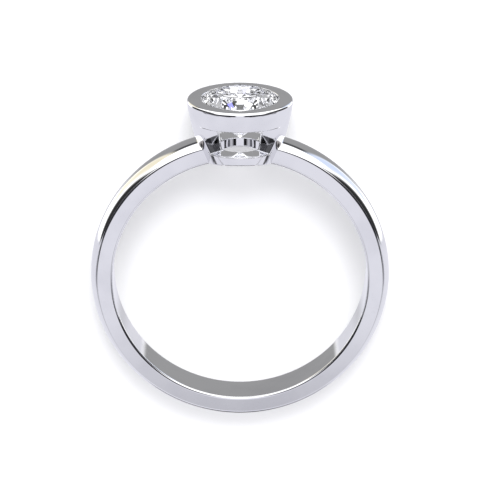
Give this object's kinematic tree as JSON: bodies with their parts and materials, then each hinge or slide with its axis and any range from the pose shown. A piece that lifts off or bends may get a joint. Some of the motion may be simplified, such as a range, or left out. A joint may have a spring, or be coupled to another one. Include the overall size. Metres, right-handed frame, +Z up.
{
  "type": "solitaire ring",
  "caption": "Bezel-set solitaire ring: a plain domed band with a tapered cup on an open gallery holding a round brilliant.",
  "frame": {"origin": "centre of the ring's plan, on the surface it lies on", "axes": "+Y towards the stone, +X across the band, +Z up from the surface; the finger hole's axis leans 5.5 degrees from +Z towards -Y"},
  "size_m": [0.02, 0.0228, 0.0069],
  "materials": {
    "white_gold": "mirror-polished rhodium-plated white gold",
    "diamond": "colourless faceted diamond"
  },
  "bodies": {
    "root": {"bezel_ring": "white_gold", "diamond": "diamond"}
  },
  "joints": []
}
